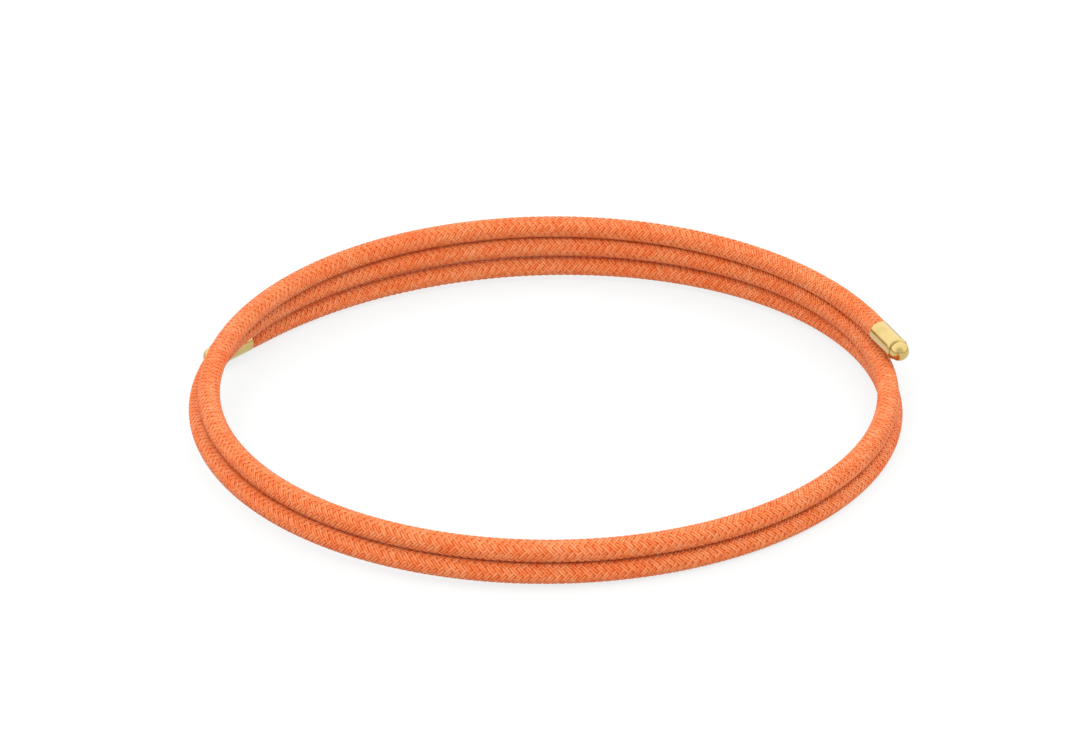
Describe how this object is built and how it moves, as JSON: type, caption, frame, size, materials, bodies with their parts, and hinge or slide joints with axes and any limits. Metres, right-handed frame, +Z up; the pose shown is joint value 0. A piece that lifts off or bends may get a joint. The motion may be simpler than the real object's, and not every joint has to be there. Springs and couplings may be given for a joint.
{
  "type": "coiled braided cord necklace",
  "caption": "Wrap neck coil: a braided textile cord over a spring wire, wound in a stacked open helix, with a gilt cap and a domed button on each end.",
  "frame": {"origin": "under the middle of the coil, on the surface that it stands on", "axes": "+Z up, along the coil's axis; -Y towards the camera in the picture"},
  "size_m": [0.1503, 0.1469, 0.0146],
  "materials": {
    "orange_braid": "fine herringbone braid, matt with a slight sheen",
    "soft_filler": "undyed soft filler cord",
    "binding_thread": "waxed thread",
    "gilt_brass": "polished gilt",
    "spring_steel": "bright drawn wire"
  },
  "bodies": {
    "coil": {"braided_sleeve": "orange_braid", "core_tube": "soft_filler", "spring_wire": "spring_steel", "start_ferrule": "gilt_brass", "start_whipping": "binding_thread", "start_wire_stop": "spring_steel", "end_ferrule": "gilt_brass", "end_whipping": "binding_thread", "end_wire_stop": "spring_steel"},
    "start_button_body": {"start_button": "gilt_brass"},
    "end_button_body": {"end_button": "gilt_brass"}
  },
  "joints": [
    {"name": "start_button_unscrew", "type": "slide", "parent": "coil", "child": "start_button_body", "axis": [-0.6637, -0.748, 0], "range_m": [0, 0.004]},
    {"name": "end_button_unscrew", "type": "slide", "parent": "coil", "child": "end_button_body", "axis": [0.3361, -0.9418, 0.0037], "range_m": [0, 0.004]}
  ]
}
